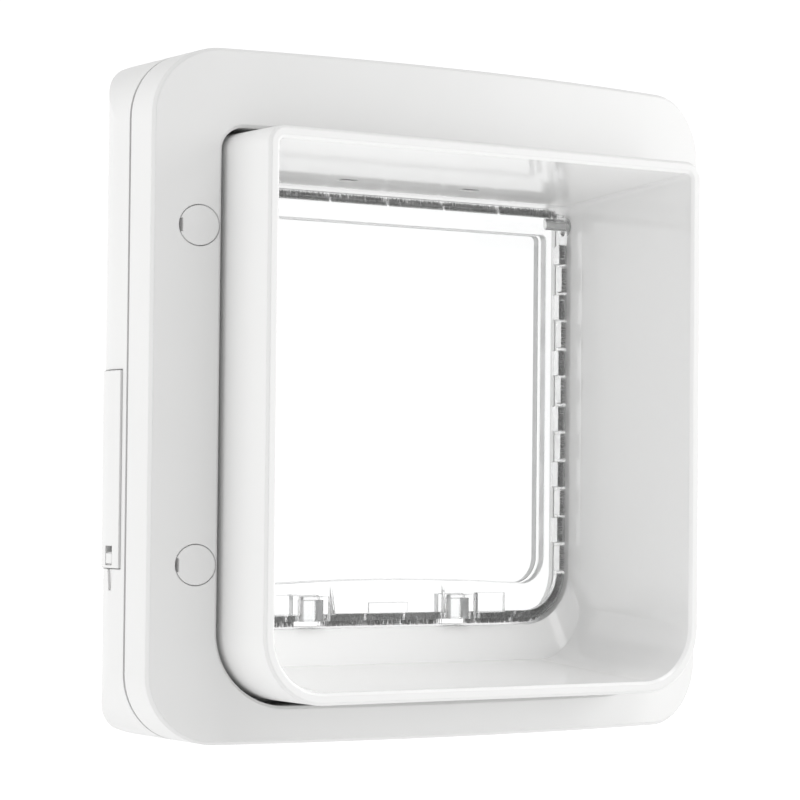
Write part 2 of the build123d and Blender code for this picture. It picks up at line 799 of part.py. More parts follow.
with BuildPart() as flap:
    extrude(
        passage(flap_front, flap_half, hinge_height, flap_bottom, 0, flap_bottom_corner),
        amount=-flap_thickness,
    )
    extrude(window_outline(flap_front), amount=-recess, mode=Mode.SUBTRACT)
    extrude(window_outline(flap_back), amount=recess, mode=Mode.SUBTRACT)
    with Locations(Location((0, hinge_depth, hinge_height), (0, 90, 0))):
        Cylinder(barrel_radius, 2 * flap_half)
    with Locations((0, hinge_depth, hinge_height + top_channel_height / 2)):
        Box(2 * flap_half, top_channel_width, top_channel_height)
    for x, y in latch_places:
        with Locations((x, y, flap_bottom + keeper_height / 2)):
            Box(keeper_width, keeper_depth, keeper_height)
    for _, side in sides:
        with Locations((side * lug_x, lug_middle, lug_foot + stop_block_height / 2)):
            Box(stop_block_width, stop_block_reach, stop_block_height)
        with BuildSketch(Plane.YZ.offset(side * (latch_spacing / 2 - fin_inset))):
            with BuildLine():
                Polyline(
                    (flap_front, lug_foot),
                    (flap_front - keeper_reach, lug_foot),
                    (flap_front, lug_foot + fin_height),
                    close=True,
                )
            make_face()
        extrude(amount=-side * fin_thickness)
    with Locations((0, flap_front - land_reach / 2, flap_bottom + land_lift + land_height / 2)):
        Box(bottom_rib_pitch, land_reach, land_height)
    add(edge_band(brush_reach, groove_depth, groove_width, rib_thickness), mode=Mode.SUBTRACT)
    for index, height in enumerate(side_ribs):
        lip_middle = flap_front + groove_lip / 2 if index % 2 == 0 else flap_back - groove_lip / 2
        lip_height = min(height + side_rib_pitch, side_brush_top) - height - rib_thickness
        with Locations(
            *[
                (side * (flap_half - groove_depth / 2), lip_middle, height + (rib_thickness + lip_height) / 2)
                for _, side in sides
            ]
        ):
            Box(groove_depth, groove_lip, lip_height, mode=Mode.SUBTRACT)
    groove_floor = top_channel_height - top_groove_depth
    add(top_band(groove_floor, top_channel_height, groove_width, rib_thickness), mode=Mode.SUBTRACT)
    for x, y in latch_places:
        with Locations((x, y, flap_bottom + keeper_pocket / 2)):
            Box(
                latch_width + 2 * keeper_gap,
                latch_thickness + 2 * keeper_gap,
                keeper_pocket,
                mode=Mode.SUBTRACT,
            )
    for _, side in sides:
        add(hinge_round(hinge_boss_radius, side * flap_half, side * hinge_boss_end))
        add(
            hinge_round(pin_radius + running_clearance, side * pin_hole_start, side * collar_half),
            mode=Mode.SUBTRACT,
        )
save(flap.part, "flap")

# Pile strips: the segments between the ribs, along each edge of the flap
brush_parts = {
    "left": ((-flap_half, (side_brush_top + side_brush_bottom) / 2), side_brush_top - side_brush_bottom),
    "right": ((flap_half, (side_brush_top + side_brush_bottom) / 2), side_brush_top - side_brush_bottom),
    "bottom": ((0, side_brush_bottom - flap_bottom_corner), 2 * flap_bottom_corner),
}
for edge_name, ((x, z), height) in brush_parts.items():
    with BuildPart() as flap_brush:
        add(edge_band(brush_reach, groove_depth - brush_fit, brush_width, rib_thickness + 2 * brush_fit))
        width = 2 * flap_bottom_corner if x else 4 * flap_half
        with Locations((x, hinge_depth, z)):
            Box(width, flap_thickness, height, mode=Mode.INTERSECT)
    save(flap_brush.part, f"flap_brush_{edge_name}")

with BuildPart() as flap_brush_top:
    add(
        top_band(
            groove_floor + brush_fit,
            top_channel_height + top_brush_reach,
            brush_width,
            rib_thickness + 2 * brush_fit,
        )
    )
save(flap_brush_top.part, "flap_brush_top")

# Hinge pins, held in the collar and running in the ends of the flap's barrel
with BuildPart() as hinge_pins:
    for _, side in sides:
        add(hinge_round(pin_radius, side * (flap_half - pin_grip), side * (collar_half + skin)))
save(hinge_pins.part, "hinge_pins")

# Latches: blades that rise out of the sill into the keepers, each drawn by its own solenoid
latch_foot = latch_top - latch_height
for latch_name, (x, y) in zip(("entry", "exit"), latch_places):
    with BuildPart() as latch:
        with Locations((x, y, latch_top - latch_height / 2)):
            Box(latch_width, latch_thickness, latch_height)
        chamfer(latch.faces().sort_by(Axis.Z)[-1].edges().filter_by(Axis.X), latch_tip_chamfer)
    save(latch.part, f"{latch_name}_latch")

    with BuildPart() as plunger:
        with Locations((x, y, latch_foot - plunger_length / 2)):
            Box(plunger_width, plunger_thickness, plunger_length)
    save(plunger.part, f"{latch_name}_plunger")

    solenoid_middle = latch_foot - solenoid_drop - solenoid_height / 2
    foot_reach = y - plate_back
    with BuildPart() as solenoid:
        with Locations((x, y, solenoid_middle)):
            Box(solenoid_width, solenoid_thickness, solenoid_height)
        with Locations((x, plate_back + foot_reach / 2, solenoid_middle)):
            Box(solenoid_foot, foot_reach, solenoid_foot)
        with Locations((x, y, solenoid_middle)):
            Box(
                plunger_width + 2 * plunger_gap,
                plunger_thickness + 2 * plunger_gap,
                solenoid_height,
                mode=Mode.SUBTRACT,
            )
    save(solenoid.part, f"{latch_name}_solenoid")

# Control board on its posts, with its chips, the button's switch and the indicator lamp
with BuildPart() as control_board:
    with Locations((0, board_face - board_thickness / 2, board_middle)):
        Box(board_width, board_thickness, board_height)
save(control_board.part, "control_board")

with BuildPart() as board_chips:
    for number, chip_side in enumerate(chip_sides, 1):
        with Locations((-number * board_width / chip_places, board_face + chip_height / 2, board_middle)):
            Box(chip_side, chip_height, chip_side)
save(board_chips.part, "board_chips")

with BuildPart() as button_switch:
    with Locations((button_offset, board_face + switch_height / 2, board_middle)):
        Box(switch_side, switch_height, switch_side)
save(button_switch.part, "button_switch")

with BuildPart() as indicator_lamp:
    with Locations((button_offset + lamp_offset, board_face + lamp_height / 2, board_middle)):
        Box(lamp_side, lamp_height, lamp_side)
save(indicator_lamp.part, "indicator_lamp")

# Learn button, kept in the cover by its flange, and the light pipe beside it
flange_rear = unit_peak - cover_wall - button_gap / 2
stem_tip = board_face + switch_height + button_travel + button_spare
with BuildPart() as learn_button:
    with BuildSketch(station(flange_rear)):
        with Locations((button_offset, board_middle)):
            Circle(button_radius)
    extrude(amount=flange_rear - unit_peak - button_proud)
    with BuildSketch(station(flange_rear)):
        with Locations((button_offset, board_middle)):
            Rectangle(2 * (button_radius + button_flange), button_stem_side)
    extrude(amount=button_flange_thickness)
    with BuildSketch(station(flange_rear)):
        with Locations((button_offset, board_middle)):
            Rectangle(button_stem_side, button_stem_side)
    extrude(amount=flange_rear - stem_tip)
save(learn_button.part, "learn_button")

with BuildPart() as light_pipe:
    with BuildSketch(station(board_face + lamp_height)):
        with Locations((button_offset + lamp_offset, board_middle)):
            Rectangle(pipe_side, pipe_side)
    extrude(amount=board_face + lamp_height - unit_rear - cover_crown / 2)
save(light_pipe.part, "light_pipe")
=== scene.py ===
"""Looks of the cat flap: finishes, pile strips, cells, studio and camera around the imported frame.

Lengths are in metres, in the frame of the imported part: X to the right as seen from outside the door,
Y into the house and Z up.
"""

import json
import logging
import math
import random
from dataclasses import dataclass, field
from enum import Enum
from typing import Any, Optional, Union

import bmesh
import bpy
from mathutils import Matrix, Vector
from mathutils.bvhtree import BVHTree

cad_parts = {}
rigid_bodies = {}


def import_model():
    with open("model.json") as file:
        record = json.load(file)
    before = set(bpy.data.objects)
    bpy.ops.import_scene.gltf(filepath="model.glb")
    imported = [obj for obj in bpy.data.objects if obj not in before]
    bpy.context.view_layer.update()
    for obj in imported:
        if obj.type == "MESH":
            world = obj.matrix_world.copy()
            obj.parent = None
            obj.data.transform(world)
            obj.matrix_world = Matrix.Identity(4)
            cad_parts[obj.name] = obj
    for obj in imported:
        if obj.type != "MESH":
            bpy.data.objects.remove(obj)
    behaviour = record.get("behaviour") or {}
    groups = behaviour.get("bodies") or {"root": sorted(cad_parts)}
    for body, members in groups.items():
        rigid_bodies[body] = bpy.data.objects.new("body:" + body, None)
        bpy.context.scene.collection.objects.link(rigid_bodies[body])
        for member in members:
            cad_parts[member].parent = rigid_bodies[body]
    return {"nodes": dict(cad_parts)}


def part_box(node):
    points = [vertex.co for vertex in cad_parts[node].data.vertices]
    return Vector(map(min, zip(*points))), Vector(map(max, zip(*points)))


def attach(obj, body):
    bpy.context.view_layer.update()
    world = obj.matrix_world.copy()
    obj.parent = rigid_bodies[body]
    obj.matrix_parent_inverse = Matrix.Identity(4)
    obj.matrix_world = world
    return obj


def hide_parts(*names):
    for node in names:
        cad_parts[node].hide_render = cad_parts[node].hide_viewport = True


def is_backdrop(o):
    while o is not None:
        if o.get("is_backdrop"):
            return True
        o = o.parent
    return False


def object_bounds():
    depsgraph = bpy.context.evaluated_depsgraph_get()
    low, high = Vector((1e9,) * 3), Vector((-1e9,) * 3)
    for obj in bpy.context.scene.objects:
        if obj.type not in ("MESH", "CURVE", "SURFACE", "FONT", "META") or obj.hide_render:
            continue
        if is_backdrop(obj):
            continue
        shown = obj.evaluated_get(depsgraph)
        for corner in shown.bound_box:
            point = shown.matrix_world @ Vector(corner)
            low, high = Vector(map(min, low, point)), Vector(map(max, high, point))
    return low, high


LOG = logging.getLogger("cat_flap")
MM = 0.001
PLASTIC_IOR = 1.49
EDGE_SAMPLES = 4

Triple = tuple[float, float, float]
Colour = Triple


class Value:
    """A socket of a shader that takes part in Python arithmetic."""

    def __init__(self, graph: "ShaderGraph", socket: bpy.types.NodeSocket) -> None:
        """Wraps a socket.

        Args:
            graph: The shader that the socket belongs to.
            socket: The output socket to wrap.
        """
        self.graph = graph
        self.socket = socket

    def math(self, operation: str, *others: "Number", swapped: bool = False) -> "Value":
        """Adds one Math node.

        Args:
            operation: Blender's name of the operation.
            others: The other operands.
            swapped: True puts this value after the first operand.

        Returns:
            The result of the operation.
        """
        operands = [self, *others]
        if swapped:
            operands[0], operands[1] = operands[1], operands[0]
        settings = {"operation": operation}
        node = self.graph.node("ShaderNodeMath", settings, dict(enumerate(operands)))
        return Value(self.graph, node.outputs[0])

    def __add__(self, other: "Number") -> "Value":
        """This value plus another."""
        return self.math("ADD", other)

    def __sub__(self, other: "Number") -> "Value":
        """This value less another."""
        return self.math("SUBTRACT", other)

    def __rsub__(self, other: "Number") -> "Value":
        """Another value less this one."""
        return self.math("SUBTRACT", other, swapped=True)

    def __mul__(self, other: "Number") -> "Value":
        """This value times another."""
        return self.math("MULTIPLY", other)

    __radd__ = __add__
    __rmul__ = __mul__

    def smooth(self, low: float, high: float) -> "Value":
        """A soft step of this value.

        Args:
            low: Where the step starts.
            high: Where the step ends.

        Returns:
            0 before the step and 1 after it.
        """
        settings = {"interpolation_type": "SMOOTHSTEP"}
        sockets = {"Value": self, "From Min": low, "From Max": high}
        return Value(self.graph, self.graph.node("ShaderNodeMapRange", settings, sockets).outputs[0])


Number = Union[float, Value]


class ShaderGraph:
    """Builds one material from nodes."""

    def __init__(self, name: str) -> None:
        """Starts an empty material.

        Args:
            name: The material's name.
        """
        self.material = bpy.data.materials.new(name)
        self.material.use_nodes = True
        self.tree = self.material.node_tree
        self.tree.nodes.clear()

    def node(
        self, kind: str, settings: Optional[dict[str, Any]] = None, sockets: Optional[dict[Any, Any]] = None
    ) -> bpy.types.Node:
        """Adds a node.

        Args:
            kind: Blender's type of the node.
            settings: Attributes of the node, set before its sockets.
            sockets: Values or links of its inputs, by name or number.

        Returns:
            The new node.
        """
        node = self.tree.nodes.new(kind)
        for key, setting in (settings or {}).items():
            setattr(node, key, setting)
        for key, content in (sockets or {}).items():
            if isinstance(content, Value):
                self.tree.links.new(content.socket, node.inputs[key])
            else:
                node.inputs[key].default_value = content
        return node

    def place(self) -> Value:
        """Object coordinates, which are the part's own frame."""
        return Value(self, self.node("ShaderNodeTexCoord").outputs["Object"])

    def facing(self) -> Value:
        """Direction in which the surface faces."""
        return Value(self, self.node("ShaderNodeNewGeometry").outputs["Normal"])

    def split(self, vector: Value) -> tuple[Value, Value, Value]:
        """The three parts of a vector.

        Args:
            vector: The vector to take apart.

        Returns:
            Its x, y and z.
        """
        node = self.node("ShaderNodeSeparateXYZ", None, {0: vector})
        return tuple(Value(self, output) for output in node.outputs)

    def stretch(self, scale: Triple) -> Value:
        """Object coordinates scaled along each axis.

        Args:
            scale: The three factors.

        Returns:
            The scaled coordinates.
        """
        sockets = {"Vector": self.place(), "Scale": scale}
        return Value(self, self.node("ShaderNodeMapping", None, sockets).outputs[0])

    def noise(self, period: float, detail: float = 2.0, vector: Optional[Value] = None) -> Value:
        """Smooth noise between 0 and 1.

        Args:
            period: About how far apart its spots are.
            detail: How many finer layers it has.
            vector: Where it is read, or None for Object coordinates.

        Returns:
            The noise.
        """
        sockets = {"Vector": vector or self.place(), "Scale": 1 / period, "Detail": detail}
        return Value(self, self.node("ShaderNodeTexNoise", None, sockets).outputs[0])

    def mix(self, factor: Number, low: Any, high: Any) -> Value:
        """Mixes two colours.

        Args:
            factor: 0 gives the first colour and 1 the second.
            low: The first colour.
            high: The second colour.

        Returns:
            The mixed colour.
        """
        colours = [shade if isinstance(shade, Value) else (*shade, 1.0) for shade in (low, high)]
        node = self.node("ShaderNodeMix", {"data_type": "RGBA"}, {0: factor, 6: colours[0], 7: colours[1]})
        return Value(self, node.outputs[2])

    def bump(self, height: Value, depth: float, strength: float, edge: float = 0.0) -> Value:
        """A normal that follows a height and, where asked, softens sharp edges.

        Args:
            height: The height, between 0 and 1.
            depth: The height's real size.
            strength: How much of it shows.
            edge: Radius of the softened edges, or 0 for none.

        Returns:
            The normal.
        """
        sockets = {"Height": height, "Distance": depth, "Strength": strength}
        if edge:
            rounding = self.node("ShaderNodeBevel", {"samples": EDGE_SAMPLES}, {"Radius": edge})
            sockets["Normal"] = Value(self, rounding.outputs[0])
        return Value(self, self.node("ShaderNodeBump", None, sockets).outputs[0])

    def shader(self, **sockets: Any) -> Value:
        """A Principled shader.

        Args:
            sockets: Its inputs, with underscores for spaces.

        Returns:
            The shader's output.
        """
        named = {key.replace("_", " "): content for key, content in sockets.items()}
        return Value(self, self.node("ShaderNodeBsdfPrincipled", None, named).outputs[0])

    def end(self, shader: Value) -> bpy.types.Material:
        """Ends the material with a shader.

        Args:
            shader: The shader that the surface gets.

        Returns:
            The finished material.
        """
        self.node("ShaderNodeOutputMaterial", None, {"Surface": shader})
        return self.material

    def surface(self, **sockets: Any) -> bpy.types.Material:
        """Ends the material with one Principled shader.

        Args:
            sockets: Its inputs, with underscores for spaces.

        Returns:
            The finished material.
        """
        return self.end(self.shader(**sockets))


def toned(colour: Colour, factor: float) -> Colour:
    """A darker or lighter tone of a colour.

    Args:
        colour: The colour to change.
        factor: What each channel is multiplied by.

    Returns:
        The new tone, with no channel above 1.
    """
    return tuple(min(1.0, channel * factor) for channel in colour)


@dataclass(frozen=True)
class MouldedPlastic:
    """Opaque moulded plastic with a fine spark-eroded grain and softened edges."""

    name: str
    colour: Colour
    roughness: float = 0.42
    grain: float = 0.45 * MM
    grain_strength: float = 0.12
    edge: float = 0.6 * MM
    mottle: float = 0.015
    cloud: float = 38.0 * MM
    unevenness: float = 0.2
    grain_depth: float = 0.02 * MM

    def build(self) -> bpy.types.Material:
        """Makes the material.

        Returns:
            The finished material.
        """
        graph = ShaderGraph(self.name)
        cloud = graph.noise(self.cloud, 3.0)
        grain = graph.noise(self.grain)
        return graph.surface(
            Base_Color=graph.mix(cloud.smooth(0.3, 0.7), toned(self.colour, 1 - self.mottle), self.colour),
            Roughness=self.roughness + (cloud - 0.5) * (self.unevenness * self.roughness),
            Normal=graph.bump(grain, self.grain_depth, self.grain_strength, self.edge),
            IOR=PLASTIC_IOR,
        )


@dataclass(frozen=True)
class PassagePlastic:
    """White plastic of the tunnel: satin outside, polished inside, and painted a little whiter inside as
    painted light, so that the outside rim reads darker as painted shade.
    """

    name: str
    colour: Colour
    # Lighter tone of the same plastic on the inside faces: painted light.
    painted_light_lining: Colour
    outside: float = 0.3
    inside: float = 0.09
    edge: float = 0.6 * MM
    inward_from: float = -5.0 * MM
    inward_to: float = -20.0 * MM
    lining_start: float = 5.0 * MM
    cloud: float = 45.0 * MM
    unevenness: float = 0.03
    wave: float = 16.0 * MM
    wave_depth: float = 0.05 * MM
    wave_strength: float = 0.1

    def inner(self, graph: ShaderGraph) -> Value:
        """Where the surface lines the passage.

        Args:
            graph: The shader that asks.

        Returns:
            1 on faces that look at the tunnel's axis or lie behind the door's outside, and 0 elsewhere.
        """
        from_axis = graph.node(
            "ShaderNodeVectorMath", {"operation": "MULTIPLY"}, {0: graph.place(), 1: (1, 0, 1)}
        )
        outward = graph.node(
            "ShaderNodeVectorMath",
            {"operation": "DOT_PRODUCT"},
            {0: Value(graph, from_axis.outputs[0]), 1: graph.facing()},
        )
        inward = 1 - Value(graph, outward.outputs["Value"]).smooth(self.inward_to, self.inward_from)
        deep = graph.split(graph.place())[1].smooth(0.0, self.lining_start)
        return inward.math("MAXIMUM", deep)

    def build(self) -> bpy.types.Material:
        """Makes the material.

        Returns:
            The finished material.
        """
        graph = ShaderGraph(self.name)
        inner = self.inner(graph)
        cloud = graph.noise(self.cloud, 3.0)
        rough = self.outside + inner * (self.inside - self.outside) + (cloud - 0.5) * self.unevenness
        wave = graph.noise(self.wave, 1.0)
        return graph.surface(
            # Inside faces get the lighter tone as painted light; the change of roughness is the real polish.
            Base_Color=graph.mix(inner, self.colour, self.painted_light_lining),
            Roughness=rough,
            Normal=graph.bump(wave, self.wave_depth, self.wave_strength, self.edge),
            IOR=PLASTIC_IOR,
        )


@dataclass(frozen=True)
class ClearPlastic:
    """Water-clear moulded plastic: a polished pane, a thicker rim and textured side walls."""

    name: str
    colour: Colour = (0.985, 0.99, 0.99)
    rim: Colour = (0.955, 0.96, 0.96)
    frost: Colour = (0.9, 0.9, 0.9)
    frosting: float = 0.35
    frost_roughness: float = 0.5
    polish: float = 0.015
    flow_haze: float = 0.02
    wall: float = 0.3
    edge: float = 0.6 * MM
    pane_half: float = 60.0 * MM
    pane_low: float = -51.0 * MM
    pane_high: float = 59.0 * MM
    rim_blend: float = 2.0 * MM
    flow: Triple = (35.0, 60.0, 22.0)
    flow_depth: float = 0.12 * MM
    flow_strength: float = 0.25

    def build(self) -> bpy.types.Material:
        """Makes the material.

        Returns:
            The finished material.
        """
        graph = ShaderGraph(self.name)
        flow = graph.noise(1.0, 1.0, graph.stretch(self.flow))
        across, _, up = graph.split(graph.place())
        beyond = (across.math("ABSOLUTE") - self.pane_half).math("MAXIMUM", self.pane_low - up)
        rim = beyond.math("MAXIMUM", up - self.pane_high).smooth(0.0, self.rim_blend)
        wall = 1 - graph.split(graph.facing())[1].math("ABSOLUTE").smooth(0.4, 0.8)
        relief = graph.bump(flow, self.flow_depth, self.flow_strength, self.edge)
        clear = graph.shader(
            Base_Color=graph.mix(rim, self.colour, self.rim),
            Roughness=self.polish + flow * self.flow_haze + wall * self.wall,
            Normal=relief,
            Transmission_Weight=1.0,
            IOR=PLASTIC_IOR,
        )
        frost = graph.shader(Base_Color=(*self.frost, 1.0), Roughness=self.frost_roughness, Normal=relief)
        mixed = graph.node("ShaderNodeMixShader", None, {0: wall * self.frosting, 1: clear, 2: frost})
        return graph.end(Value(graph, mixed.outputs[0]))


@dataclass(frozen=True)
class PileFibre:
    """Fine synthetic pile with darker and lighter strands."""

    name: str
    dark: Colour
    light: Colour
    strand: float = 0.55 * MM
    patch: float = 6.0 * MM
    patch_share: float = 0.3
    roughness: float = 0.55
    sheen: float = 0.25

    def build(self) -> bpy.types.Material:
        """Makes the material.

        Returns:
            The finished material.
        """
        graph = ShaderGraph(self.name)
        strand = graph.noise(self.strand, 1.0)
        patch = graph.noise(self.patch, 2.0)
        tone = (strand * (1 - self.patch_share) + patch * self.patch_share).smooth(0.36, 0.66)
        return graph.surface(
            Base_Color=graph.mix(tone, self.dark, self.light),
            Roughness=self.roughness + strand * 0.3,
            Sheen_Weight=self.sheen,
        )


@dataclass(frozen=True)
class BareMetal:
    """Plain or plated metal, drawn or rolled along Z."""

    name: str
    colour: Colour
    roughness: float = 0.3
    streak: float = 0.25 * MM
    drawn: Triple = (1.0, 1.0, 0.06)
    streak_tone: float = 0.8
    streak_depth: float = 0.01 * MM
    edge: float = 0.15 * MM

    def build(self) -> bpy.types.Material:
        """Makes the material.

        Returns:
            The finished material.
        """
        graph = ShaderGraph(self.name)
        lines = graph.noise(self.streak, 3.0, graph.stretch(self.drawn))
        darker = toned(self.colour, self.streak_tone)
        return graph.surface(
            Base_Color=graph.mix(lines.smooth(0.35, 0.65), darker, self.colour),
            Roughness=self.roughness + (lines - 0.5) * 0.2,
            Metallic=1.0,
            Normal=graph.bump(lines, self.streak_depth, 0.15, self.edge),
        )


@dataclass(frozen=True)
class WoundWire:
    """Enamelled copper wire wound in turns that lie side by side, with painted shade darkening the grooves
    between turns.
    """

    name: str
    colour: Colour
    wire: float = 0.35 * MM
    painted_groove_shade: float = 0.35
    groove_depth: float = 0.1 * MM
    roughness: float = 0.28

    def build(self) -> bpy.types.Material:
        """Makes the material.

        Returns:
            The finished material.
        """
        graph = ShaderGraph(self.name)
        depth = graph.split(graph.place())[1]
        turn = (depth * (2 * math.pi / self.wire)).math("SINE") * 0.5 + 0.5
        return graph.surface(
            # Darker between turns: painted shade in the grooves.
            Base_Color=graph.mix(turn, toned(self.colour, self.painted_groove_shade), self.colour),
            Roughness=self.roughness + turn * 0.1,
            Metallic=0.9,
            Normal=graph.bump(turn, self.groove_depth, 0.6),
        )


@dataclass(frozen=True)
class BoardResist:
    """Green solder resist over a copper pattern, with faint tracks."""

    name: str
    colour: Colour
    track: float = 1.1 * MM
    run: float = 5.0 * MM
    run_stretch: Triple = (0.4, 1.0, 3.0)
    track_tone: float = 2.0
    track_depth: float = 0.04 * MM
    roughness: float = 0.3
    edge: float = 0.1 * MM

    def build(self) -> bpy.types.Material:
        """Makes the material.

        Returns:
            The finished material.
        """
        graph = ShaderGraph(self.name)
        up = graph.split(graph.place())[2]
        rows = (up * (2 * math.pi / self.track)).math("SINE").smooth(0.1, 0.4)
        breaks = graph.noise(self.run, 1.0, graph.stretch(self.run_stretch)).smooth(0.48, 0.52)
        tracks = rows * breaks
        return graph.surface(
            Base_Color=graph.mix(tracks, self.colour, toned(self.colour, self.track_tone)),
            Roughness=self.roughness + tracks * 0.1,
            Normal=graph.bump(tracks, self.track_depth, 0.5, self.edge),
        )


@dataclass(frozen=True)
class CellWrap:
    """Plain sleeve of a cell, with bare steel ends."""

    name: str
    sleeve: Colour
    steel: Colour
    cloud: float = 9.0 * MM
    cloud_tone: float = 0.85
    roughness: float = 0.25

    def build(self) -> bpy.types.Material:
        """Makes the material.

        Returns:
            The finished material.
        """
        graph = ShaderGraph(self.name)
        end = graph.split(graph.facing())[2].math("ABSOLUTE").smooth(0.6, 0.9)
        cloud = graph.noise(self.cloud, 2.0)
        sleeve = graph.mix(cloud, toned(self.sleeve, self.cloud_tone), self.sleeve)
        return graph.surface(
            Base_Color=graph.mix(end, sleeve, self.steel),
            Roughness=self.roughness + cloud * 0.1,
            Metallic=end,
        )


class Finish(Enum):
    """The finishes of the part, one for each kind of surface."""

    SHELL = MouldedPlastic("satin_white", (0.76, 0.76, 0.755))
    # The passage's second, lighter tone is painted light on its inside faces.
    PASSAGE = PassagePlastic("passage_white", (0.80, 0.80, 0.795), (0.93, 0.93, 0.925))
    CLEAR = ClearPlastic("clear_moulding")
    PILE = PileFibre("grey_pile", (0.25, 0.25, 0.252), (0.62, 0.62, 0.615))
    STEEL = BareMetal("plain_steel", (0.62, 0.62, 0.61))
    ZINC = BareMetal("zinc_plate", (0.5, 0.5, 0.52), 0.38)
    # A whiter tone than the shell, to lift the hinge pins out of the clear barrel's shade: painted light.
    LATCH = MouldedPlastic("latch_white_painted_light", (0.92, 0.92, 0.915), 0.25, 0.6 * MM, 0.06, 0.3 * MM)
    DARK = MouldedPlastic("black_moulding", (0.018, 0.018, 0.02), 0.36, 0.4 * MM, 0.15, 0.3 * MM)
    SENSOR = MouldedPlastic("sensor_pane", (0.012, 0.01, 0.012), 0.7, 3 * MM, 0.02, 0.2 * MM)
    WIRE = WoundWire("copper_wire", (0.75, 0.36, 0.17))
    BOARD = BoardResist("solder_resist", (0.012, 0.11, 0.045))
    LAMP = MouldedPlastic("lamp_red", (0.5, 0.02, 0.015), 0.12, 2 * MM, 0.02, 0.2 * MM)
    CELL = CellWrap("cell_sleeve", (0.05, 0.12, 0.2), (0.62, 0.62, 0.6))


DRESS: dict[Finish, tuple[str, ...]] = {
    Finish.SHELL: (
        "outer_frame",
        "screw_caps",
        "inner_cover",
        "battery_cover_left",
        "battery_cover_right",
        "learn_button",
    ),
    Finish.PASSAGE: ("tunnel",),
    Finish.CLEAR: ("flap", "light_pipe"),
    Finish.PILE: ("flap_brush_top", "flap_brush_left", "flap_brush_right", "flap_brush_bottom"),
    Finish.STEEL: (
        "fixing_screws",
        "entry_plunger",
        "exit_plunger",
        "battery_contacts_left",
        "battery_contacts_right",
    ),
    Finish.ZINC: ("entry_solenoid", "exit_solenoid"),
    Finish.LATCH: ("entry_latch", "exit_latch", "hinge_pins"),
    Finish.DARK: ("battery_bay_left", "battery_bay_right", "board_chips", "button_switch"),
    Finish.SENSOR: ("sensor_windows",),
    Finish.WIRE: ("antenna_coil",),
    Finish.BOARD: ("control_board",),
    Finish.LAMP: ("indicator_lamp",),
    Finish.CELL: ("batteries",),
}


@dataclass
class Wardrobe:
    """Makes each finish once and puts it on pieces."""

    made: dict[Finish, bpy.types.Material] = field(default_factory=dict)

    def material(self, finish: Finish) -> bpy.types.Material:
        """The material of a finish.

        Args:
            finish: The finish that is wanted.

        Returns:
            Its material, made the first time.
        """
        if finish not in self.made:
            self.made[finish] = finish.value.build()
        return self.made[finish]

    def dress(self, piece: bpy.types.Object, finish: Finish) -> None:
        """Puts a finish on every material slot of a piece.

        Args:
            piece: The object to dress.
            finish: The finish that it gets.
        """
        if not piece.material_slots:
            piece.data.materials.append(None)
        for slot in piece.material_slots:
            slot.material = self.material(finish)

    def dress_nodes(self, nodes: dict[str, bpy.types.Object]) -> None:
        """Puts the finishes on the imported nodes.

        Args:
            nodes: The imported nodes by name.
        """
        for finish, names in DRESS.items():
            for name in names:
                self.dress(nodes[name], finish)
            LOG.info("%s: %s", finish.name.lower(), ", ".join(names))


def finished(name: str, mesh: bmesh.types.BMesh) -> bpy.types.Object:
    """Turns a bmesh into a smoothly shaded object at the origin.

    Args:
        name: The object's name.
        mesh: The bmesh, which is freed.

    Returns:
        The new object.
    """
    data = bpy.data.meshes.new(name)
    mesh.to_mesh(data)
    mesh.free()
    for face in data.polygons:
        face.use_smooth = True
    piece = bpy.data.objects.new(name, data)
    bpy.context.scene.collection.objects.link(piece)
    return piece


class Edge(Enum):
    """Edges of the flap that carry pile."""

    TOP = "top"
    LEFT = "left"
    RIGHT = "right"
    BOTTOM = "bottom"


